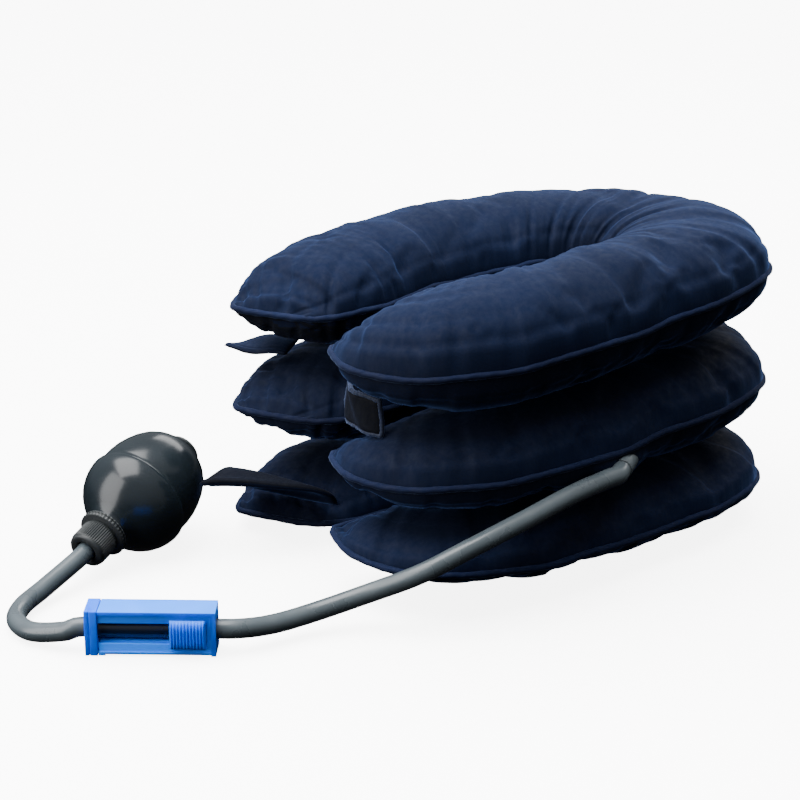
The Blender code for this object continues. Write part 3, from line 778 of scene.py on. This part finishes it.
CONTACT_EASE = 2.5 * MM
CONTACT_GAP = 0.3 * MM  # each side of the middle between two tiers


def soft_limit(values, limit, over):
    """Values kept under limit (or over it), eased over a few millimetres."""
    gap = (limit - values) if not over else (values - limit)
    eased = CONTACT_EASE * np.logaddexp(0, gap / CONTACT_EASE)
    return (limit - eased) if not over else (limit + eased)


def between(lower, upper, lengths, y):
    """Height of the middle between two tiers' facing covers."""
    share = np.array([near_share(length) for length in lengths])[:, None]
    low = lower.seam_z + lower.slope * (y - SHIFT.y) + lower.lift * share
    low = low + lower.rise - lower.rise_loss * share
    high = upper.seam_z + upper.slope * (y - SHIFT.y) + upper.lift * share
    high = high - upper.drop + upper.drop_loss * share
    return (low + high) / 2


def clear_of_neighbours(level, grids, lengths):
    """Flattens a cover where it rests on the tier under it, or on the floor."""
    tier = TIERS[level]
    if level < len(TIERS) - 1:
        limit = between(tier, TIERS[level + 1], lengths, grids[0][..., 1]) - CONTACT_GAP
        grids[0][..., 2] = soft_limit(grids[0][..., 2], limit, over=False)
    if level:
        limit = between(TIERS[level - 1], tier, lengths, grids[1][..., 1]) + CONTACT_GAP
        grids[1][..., 2] = soft_limit(grids[1][..., 2], limit, over=True)
    else:
        grids[1][..., 2] = np.maximum(grids[1][..., 2], 0.2 * MM)
    return grids


def cover_grids(level):
    tier = TIERS[level]
    grids, lengths, across = start_grids(tier, START)
    grids = blow_up(tier, grids)
    grids = refine(refine(refine(grids, 1), 1), 2)
    lengths = refine(refine(lengths, 0), 0)
    across = refine(across, 0)
    rim = grids[0].copy()
    ends = [station(length) for length in lengths]
    widths = np.array([np.linalg.norm(outer - inner) for outer, inner in ends])
    for side, sign in enumerate((1, -1)):
        depth = wrinkle(tier, side, lengths, across, widths)
        normals = normals_of(grids[side])
        inward = np.where(normals[..., 2:3] * sign > 0, -1, 1)
        grids[side] = grids[side] + normals * inward * depth[..., None]
    grids = clear_of_neighbours(level, grids, lengths)
    for side in (0, 1):
        for row in (0, -1):
            grids[side][row] = rim[row]
        for column in (0, -1):
            grids[side][:, column] = rim[:, column]
    return grids


PILE_FRONT = -38 * MM  # the far arm's loop pile lies in front of this


def add_cover(level):
    """The padded cover of one tier, sewn shut round its rim, and the piping over the seam."""
    tier = TIERS[level]
    points, faces, top, _ = closed_mesh(cover_grids(level))
    cover = mesh_object(f"{tier.name}_cover", points, faces)
    nodes = [f"{tier.name}_{part}" for part in ("upper_panel", "lower_panel", "bladder")]
    finish_piece(cover, VELOUR, tier.body, nodes[0], *nodes)
    if tier.name == "top":
        cover.data.materials.append(PILE)
        for face in cover.data.polygons:
            low = face.normal.z < -0.2 and face.center.x < 0 and face.center.y < PILE_FRONT
            face.material_index = 1 if low else 0
    rim = [*points[top[:, 0]], *points[top[-1, 1:]], *points[top[::-1, -1][1:]]]
    rim = [*rim, *points[top[0, ::-1][1:-1]]]
    loop, length = smooth([*rim, rim[0]], count=2)
    loop, _ = smooth([*rim, rim[0]], count=round(length / (1.3 * MM)))
    cord = tube(
        f"{tier.name}_welt",
        loop[:-1],
        PIPING_R,
        sides=14,
        closed=True,
        ripple=lambda k, angle: 0.05 * math.sin(2 * angle + k * 0.9) + 0.05 * math.sin(k * 0.37),
    )
    finish_piece(cord, TRIM, tier.body, f"{tier.name}_piping", f"{tier.name}_piping")
    for piece in (cover, cord):
        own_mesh(piece)


for level in range(len(TIERS)):
    add_cover(level)


# ---- the straps and the loop tab -------------------------------------------------------------
def flap(name, spine, widths, across, thick, rows=40, columns=22):
    """A sewn flap: two faces over a soft filling, hemmed all round, its rim shared."""
    spots, _ = smooth([[*place(p), w * MM] for p, w in zip(spine, widths)], count=rows)
    grids = np.zeros((2, rows, columns, 3))
    for i, (x, y, z, half) in enumerate(spots):
        after, before = spots[min(i + 1, rows - 1)], spots[max(i - 1, 0)]
        ahead = Vector(after[:3] - before[:3]).normalized()
        over = ahead.cross(across).normalized()
        if over.z < 0:
            over = -over
        share = i / (rows - 1)
        root = min(1, (share + 0.02) / 0.1)
        tip = math.sqrt(max(0, 1 - max(0, (share - 0.9) / 0.1) ** 2))
        for j in range(columns):
            t = 2 * j / (columns - 1) - 1
            rim = min(1, (1 - abs(t)) * half / (1.6 * MM)) ** 0.5 * root**0.5 * tip
            hem = 1 - 0.22 * math.exp(-((((1 - abs(t)) * half / MM - 3.4) / 0.8) ** 2))
            soft = 0.75 + 0.25 * (1 - t * t) + 0.10 * math.sin(9 * share + 3 * t)
            lift = 0.5 * thick * rim * hem * soft
            bow = 0.9 * MM * math.sin(7 * share + 1.4 * t) * (1 - (1 - share) ** 6)
            middle = Vector((x, y, z)) + across * half * t + over * bow
            grids[0, i, j] = middle + over * lift
            grids[1, i, j] = middle - over * lift
    for side_row in (0, -1):
        grids[1][side_row] = grids[0][side_row] = (grids[0][side_row] + grids[1][side_row]) / 2
        grids[1][:, side_row] = grids[0][:, side_row]
    points, faces, _, _ = closed_mesh(grids)
    made = mesh_object(name, points, faces)
    weld(made)
    return made


def two_faced(obj, above, below):
    """The flap's soft face above and its hook face below."""
    obj.data.materials.append(below)
    for face in obj.data.polygons:
        face.material_index = 0 if face.normal.z > 0 else 1


LOWER_STRAP = ((-42, -96, 22), (-39, -103, 30), (-39, -114, 36), (-40, -130, 39), (-43, -146, 39))
LOWER_STRAP_HALF = (25, 26, 22, 13, 2.5)
UPPER_STRAP = ((-66, -82, 91), (-74, -90, 91), (-83, -99, 90), (-91, -107, 88.5))
UPPER_STRAP_HALF = (14, 13, 9, 2)
STRAPS = (
    ("lower_strap", LOWER_STRAP, LOWER_STRAP_HALF, Vector((0.865, 0.5, 0)), 4.2, "middle_slide", 0),
    ("upper_strap", UPPER_STRAP, UPPER_STRAP_HALF, Vector((0.7, -0.7, 0)), 3.0, "top_slide", 66),
)


def add_straps():
    for name, spine, widths, across, thick, joint, foot in STRAPS:
        strap = flap(f"{name}_flap", spine, widths, across.normalized(), thick * MM)
        finish_piece(strap, VELOUR, name, name, name)
        two_faced(strap, VELOUR, PILE)
        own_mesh(strap)


LOOP_TAB = ((13, -97.5, 90), (21, -100.5, 90), (31, -101, 90), (42, -97.5, 90))
LOOP_TAB_HEIGHT = 17 * MM


def add_loop_tab():
    """The loop patch at the near arm's end, with its bound and stitched border."""
    line, _ = smooth([place(p) for p in LOOP_TAB], count=34)
    columns = 18
    grids = np.zeros((2, len(line), columns, 3))
    for i, spot in enumerate(line):
        ahead = Vector(line[min(i + 1, len(line) - 1)] - line[max(i - 1, 0)]).normalized()
        out = ahead.cross(Vector((0, 0, 1)))
        for j in range(columns):
            t = j / (columns - 1)
            edge = min(i, len(line) - 1 - i) / 3, min(j, columns - 1 - j) / 2
            thick = 1.5 * MM * min(1, min(edge)) ** 0.5
            middle = Vector(spot) + Vector((0, 0, LOOP_TAB_HEIGHT * (t - 0.5)))
            middle += out * 0.8 * MM * math.sin(4 * t + i * 0.3)
            grids[0, i, j] = middle + out * thick
            grids[1, i, j] = middle - out * thick
    points, faces, top, _ = closed_mesh(grids)
    tab = mesh_object("loop_patch", points, faces)
    weld(tab)
    finish_piece(tab, PILE, "middle_tier", "loop_tab", "loop_tab")
    rim = [*points[top[:, 0]], *points[top[-1, 1:]], *points[top[::-1, -1][1:]]]
    rim = [*rim, *points[top[0, ::-1][1:-1]]]
    loop, _ = smooth([*rim, rim[0]], count=180)
    border = tube(
        "loop_patch_binding", loop[:-1], 1.1 * MM, sides=10, closed=True,
        ripple=lambda k, angle: 0.12 * math.sin(k * 1.9) + 0.08 * math.sin(k * 0.7 + angle),
    )
    finish_piece(border, BINDING, "middle_tier", "loop_tab")
    for piece in (tab, border):
        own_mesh(piece)


def add_stem():
    """The rubber stub that the hose is drawn over, where it comes out from under the cover."""
    profile = [(2.5, -16), (4.7, -16), (5.0, -15.6), (5.0, -0.5), (4.8, -0.1), (4.5, 0.0), (2.5, 0.0)]
    stub = lathe("hose_stub", profile, axis_matrix(place(STEM_TIP), STEM_DIR), steps=64)
    finish_piece(stub, HOSE, "middle_tier", "hose_stem", "hose_stem")


add_straps()
add_loop_tab()
add_stem()


# ---- the slide clamp -------------------------------------------------------------------------
CLAMP_AT = Matrix.Translation(place(CLAMP_MID)) @ Matrix.Rotation(
    math.atan2(CLAMP_DIR.y, CLAMP_DIR.x), 4, "Z"
)
ALONG_X = Matrix.Rotation(math.radians(90), 4, "Y")
CLAMP_LENGTH, CLAMP_DEPTH, CLAMP_HEIGHT, CLAMP_CAP = 52, 14, 21, 6  # mm
SLOT_LOW, SLOT_HIGH, SLOT_HEIGHT = -22, 26, 10
SLIDER_LOW, SLIDER_LENGTH = -21.7, 16


def block(name, low, high):
    bm = bmesh.new()
    bmesh.ops.create_cube(bm, size=1)
    bmesh.ops.scale(bm, vec=(Vector(high) - Vector(low)) * MM, verts=bm.verts)
    bmesh.ops.translate(bm, vec=(Vector(high) + Vector(low)) * MM / 2, verts=bm.verts)
    data = bpy.data.meshes.new(name)
    bm.to_mesh(data)
    bm.free()
    return link(name, data)


def rod(name, radius, low, high, sides=48):
    bm = bmesh.new()
    depth = (high - low) * MM
    bmesh.ops.create_cone(
        bm, cap_ends=True, segments=sides, radius1=radius * MM, radius2=radius * MM, depth=depth
    )
    data = bpy.data.meshes.new(name)
    bm.to_mesh(data)
    bm.free()
    data.transform(Matrix.Translation(Vector(((low + high) * MM / 2, 0, 0))) @ ALONG_X)
    return link(name, data)


def carve(obj, tools, operation="DIFFERENCE"):
    for tool in tools:
        step = obj.modifiers.new("Cut", "BOOLEAN")
        step.operation = operation
        step.solver = "EXACT"
        step.object = tool


def bake(obj, tools=(), width=0.5, segments=3):
    """Applies an object's modifiers and a rounding of its edges, and removes the tools."""
    soften = obj.modifiers.new("Rounding", "BEVEL")
    soften.width = width * MM
    soften.segments = segments
    soften.limit_method = "ANGLE"
    soften.angle_limit = math.radians(40)
    soften.harden_normals = False
    graph = bpy.context.evaluated_depsgraph_get()
    data = bpy.data.meshes.new_from_object(obj.evaluated_get(graph))
    obj.modifiers.clear()
    obj.data = data
    for tool in tools:
        bpy.data.objects.remove(tool, do_unlink=True)
    data.shade_smooth()
    data.set_sharp_from_angle(angle=math.radians(32))
    return obj


def add_clamp():
    half, depth, tall = CLAMP_LENGTH / 2, CLAMP_DEPTH / 2, CLAMP_HEIGHT / 2
    body = block("clamp_shell", (-half, -depth, -tall), (half, depth, tall))
    tools = [
        rod("bore", 5.1, -half - 5, half + 5),
        block("window", (SLOT_LOW, -1, -SLOT_HEIGHT / 2), (SLOT_HIGH, depth + 5, SLOT_HEIGHT / 2)),
        block("groove", (SLOT_LOW, 3, -7), (SLOT_HIGH, 5, 7)),
        block("face_step", (-half + 2.2, depth - 0.6, -tall + 1.8), (half + 5, depth + 5, tall - 1.8)),
        block("foot_step", (-half + 2.2, depth - 1.2, -tall - 1), (half - 3, depth + 5, -tall + 0.9)),
    ]
    carve(body, tools)
    bake(body, tools, width=0.55)
    body.data.transform(CLAMP_AT)
    finish_piece(body, AZURE, "collar_base", "clamp_body", "clamp_body")

    cap = block(
        "clamp_cap", (half + 0.3, -depth - 0.2, -tall - 0.2), (half + CLAMP_CAP, depth + 0.2, tall + 0.2)
    )
    tools = [
        rod("bore", 5.1, half - 5, half + 15),
        block("rim", (half + 3.6, depth - 0.4, -tall - 3), (half + 4.3, depth + 3, tall + 3)),
        rod("mouth", 6.6, half + 4.8, half + 9),
    ]
    carve(cap, tools)
    bake(cap, tools, width=0.7)
    cap.data.transform(CLAMP_AT)
    finish_piece(cap, AZURE, "collar_base", "clamp_end_cap", "clamp_end_cap")
    return body, cap


def add_slider():
    """The thumb slider: a barrelled grip with ribs across its travel, on a neck in the slot."""
    rows, columns, ribs = 133, 25, 11
    front, back, height = CLAMP_DEPTH / 2, 3.4, 14
    grids = np.zeros((2, rows, columns, 3))
    for i in range(rows):
        x = i / (rows - 1)
        end = min(x, 1 - x) * SLIDER_LENGTH
        wave = 0.5 + 0.5 * math.cos(math.tau * (x * ribs - 0.5))
        rib = 0.95 * wave**0.6
        for j in range(columns):
            z = 2 * j / (columns - 1) - 1
            barrel = (1 - abs(z) ** 3.4) ** (1 / 2.0)
            shoulder = min(1, end / 0.9) ** 0.5
            proud = 0.3 + (2.1 + rib * (1 - abs(z) ** 6)) * barrel * shoulder
            spot = (SLIDER_LOW + x * SLIDER_LENGTH, front + proud, z * height / 2)
            grids[0, i, j] = Vector(spot) * MM
            grids[1, i, j] = Vector((spot[0], front + 0.3, spot[2])) * MM
    for edge in (0, -1):
        grids[1][edge] = grids[0][edge]
        grids[1][:, edge] = grids[0][:, edge]
    points, faces, _, _ = closed_mesh(grids)
    grip = mesh_object("clamp_grip", points, faces, sharp=50)
    weld(grip)
    grip.data.transform(CLAMP_AT)
    finish_piece(grip, AZURE_GRIP, "clamp_slider", "clamp_slider", "clamp_slider")
    ends = (SLIDER_LOW, SLIDER_LOW + SLIDER_LENGTH)
    neck = block("slider_neck", (ends[0], back, -4.7), (ends[1], front + 1, 4.7))
    rail = block("slider_rail", (ends[0], 3.3, -6.7), (ends[1], 4.7, 6.7))
    clearance = rod("clearance", 4.8, ends[0] - 5, ends[1] + 5)
    carve(neck, [rail], "UNION")
    carve(neck, [clearance])
    bake(neck, [rail, clearance], width=0.2, segments=2)
    neck.data.transform(CLAMP_AT)
    finish_piece(neck, AZURE_GRIP, "clamp_slider", "clamp_slider")
    return grip, neck


clamp_body, clamp_cap = add_clamp()
clamp_grip, clamp_neck = add_slider()


# ---- the bulb, its nut and its valves --------------------------------------------------------
BULB_AT = axis_matrix(place(NUT_FRONT), BULB_DIR)
BULB_START = 17
BULB_END = 83
BULB_SKIN = (
    (8.6, 0), (8.5, 1.4), (10.0, 3.2), (13.2, 5.3), (16.6, 7.3), (19.6, 9.8), (22.2, 12.6),
    (24.2, 15.6), (25.7, 18.9), (26.6, 22), (27.0, 24.8), (26.95, 26.4), (26.5, 27.3), (25.8, 27.9),
    (25.5, 28.6), (25.75, 29.8), (26.0, 32), (26.05, 36), (25.6, 40.6), (24.6, 45), (23.1, 49.6),
    (21, 54), (18.5, 57.4), (15.5, 60.3), (12.6, 62.8), (9.8, 64.4), (8.6, 65.4), (7.8, 66),
)
BULB_WALL = 2.4


def add_bulb():
    skin = [(r, BULB_START + h) for r, h in BULB_SKIN]
    inside = [(max(r - BULB_WALL, 5.0), h) for r, h in skin[1:-2]]
    inside = [(5.0, BULB_START), (5.0, BULB_START + 5), *inside[2:], (6.1, BULB_END - 4), (6.1, BULB_END)]
    profile = [*reversed(skin), *inside]

    def parting(height, radius, angle):
        near = min(abs(math.sin(angle / 2 + k * math.pi / 2)) for k in (0, 1))
        return 0.10 * math.exp(-((near * 2 * radius / 0.5) ** 2)) if radius > 10 else 0

    bulb = lathe("bulb_skin", profile, BULB_AT, steps=160, tooth=parting, sharp=70)
    return finish_piece(bulb, BULB, "collar_base", "bulb", "bulb")


def add_nut():
    outline = [
        (5.2, 0.9), (5.9, 0.15), (7.4, 0.0), (8.5, 0.15), (9.0, 0.7), (9.15, 1.5), (9.45, 2.0),
        (9.6, 2.6), (9.6, 6.5), (9.6, 11.2), (9.45, 11.8), (9.1, 12.3), (8.9, 12.8), (8.0, 13.0),
        (5.2, 13.0),
    ]
    teeth = 54

    def knurl(height, radius, angle):
        share = min(1, max(0, (radius - 9.3) / 0.25))
        return -0.42 * share * (0.5 - 0.5 * math.cos(teeth * angle)) ** 0.8

    nut = lathe("nut_knurl", outline, BULB_AT, steps=teeth * 8, tooth=knurl, sharp=50)
    return finish_piece(nut, KNURL, "release_nut", "release_nut", "release_nut")


def add_ring():
    outline = [
        (5.1, 16.7), (11.4, 16.7), (12.2, 16.35), (12.4, 15.9), (12.4, 15.6), (11.9, 15.4),
        (11.9, 15.0), (12.4, 14.8), (12.4, 14.1), (12.1, 13.6), (11.4, 13.3), (5.1, 13.3),
    ]

    def notch(height, radius, angle):
        return -0.3 * (0.5 - 0.5 * math.cos(40 * angle)) if radius > 12.3 else 0

    ring = lathe("neck_ring", outline, BULB_AT, steps=320, tooth=notch, sharp=40)
    return finish_piece(ring, RING, "collar_base", "collar_ring", "collar_ring")


def add_inlet():
    top = BULB_END + 2.1
    outline = [
        (1.8, top), (3.2, top), (3.5, top - 0.5), (5.0, top - 0.5), (5.3, top), (8.2, top),
        (8.8, top - 0.4), (9.0, top - 1.0), (8.9, top - 1.6), (8.5, top - 1.8), (5.7, top - 1.8),
        (5.7, top - 11), (1.8, top - 11), (1.8, top - 9.8), (3.2, top - 8.4), (3.2, top - 2.6),
        (1.8, top - 1.2),
    ]
    inlet = lathe("inlet_valve_seat", outline, BULB_AT, steps=72, sharp=30)
    return finish_piece(inlet, VALVE, "collar_base", "inlet_valve", "inlet_valve")


add_bulb()
add_nut()
add_ring()
add_inlet()
for node, material in (
    ("valve_stem", VALVE),
    ("outlet_valve", VALVE),
    ("outlet_ball", STEEL),
    ("inlet_ball", STEEL),
    ("lower_air_link", AIR),
    ("upper_air_link", AIR),
):
    cad_look(node, material)


# ---- floor and light -------------------------------------------------------------------------
FLOOR_HALF = 9
FLOOR_GLOW = 6.0  # keeps the floor pale under the object's shadow


def add_floor():
    half = FLOOR_HALF
    points = [(-half, -half, 0), (half, -half, 0), (half, half, 0), (-half, half, 0)]
    floor = mesh_object("floor", points, [(0, 1, 2, 3)])
    made = Shader("pale_floor", Roughness=0.9)
    made.shader.inputs["Specular IOR Level"].default_value = 0.1
    tint = made.noise(3, detail=2)
    made.color(made.mix(tint, (0.90, 0.90, 0.90), (0.93, 0.93, 0.93)))
    floor.data.materials.append(made.material)
    made.shader.inputs["Emission Color"].default_value = (1, 1, 1, 1)
    made.shader.inputs["Emission Strength"].default_value = FLOOR_GLOW
    floor.visible_diffuse = False
    floor.visible_glossy = False


def softbox(name, energy, size, at, towards):
    data = bpy.data.lights.new(name, "AREA")
    data.shape = "RECTANGLE"
    data.size, data.size_y = size
    data.energy = energy
    lamp = link(name, data)
    lamp.location = at
    lamp.rotation_euler = (Vector(towards) - Vector(at)).to_track_quat("-Z", "Y").to_euler()
    return lamp


def add_sky():
    """Bright above and dim below the horizon, so that undersides stay dark."""
    world = bpy.data.worlds.new("studio")
    bpy.context.scene.world = world
    world.use_nodes = True
    tree = world.node_tree
    coords = tree.nodes.new("ShaderNodeTexCoord")
    split = tree.nodes.new("ShaderNodeSeparateXYZ")
    tree.links.new(coords.outputs["Generated"], split.inputs[0])
    ramp = tree.nodes.new("ShaderNodeValToRGB")
    ramp.color_ramp.elements[0].position = 0.44
    ramp.color_ramp.elements[0].color = (0.03, 0.03, 0.035, 1)
    ramp.color_ramp.elements[1].position = 0.95
    ramp.color_ramp.elements[1].color = (1, 1, 1, 1)
    level = ramp.color_ramp.elements.new(0.55)
    level.color = (0.45, 0.47, 0.5, 1)
    remap = tree.nodes.new("ShaderNodeMapRange")
    remap.inputs["From Min"].default_value = -1
    remap.inputs["From Max"].default_value = 1
    tree.links.new(split.outputs["Z"], remap.inputs["Value"])
    tree.links.new(remap.outputs["Result"], ramp.inputs["Fac"])
    background = tree.nodes["Background"]
    tree.links.new(ramp.outputs["Color"], background.inputs["Color"])
    background.inputs["Strength"].default_value = 0.5


def add_sun(strength, angle, towards):
    data = bpy.data.lights.new("wide_key", "SUN")
    data.energy = strength
    data.angle = math.radians(angle)
    lamp = link("wide_key", data)
    lamp.rotation_euler = Vector(towards).to_track_quat("-Z", "Y").to_euler()
    lamp.visible_glossy = False
    return lamp


add_floor()
add_sky()
add_sun(11.0, 80, (0.25, 0.0, -1.0))
softbox("top_box", 14, (0.9, 0.7), (-0.2, -0.35, 0.95), (0, 0, 0.05))
softbox("side_box", 10, (0.7, 0.9), (-0.1, -1.0, 0.4), (0, -0.1, 0.08))
softbox("back_strip", 5, (1.2, 0.3), (-0.5, 0.8, 0.6), (0, 0, 0.1))
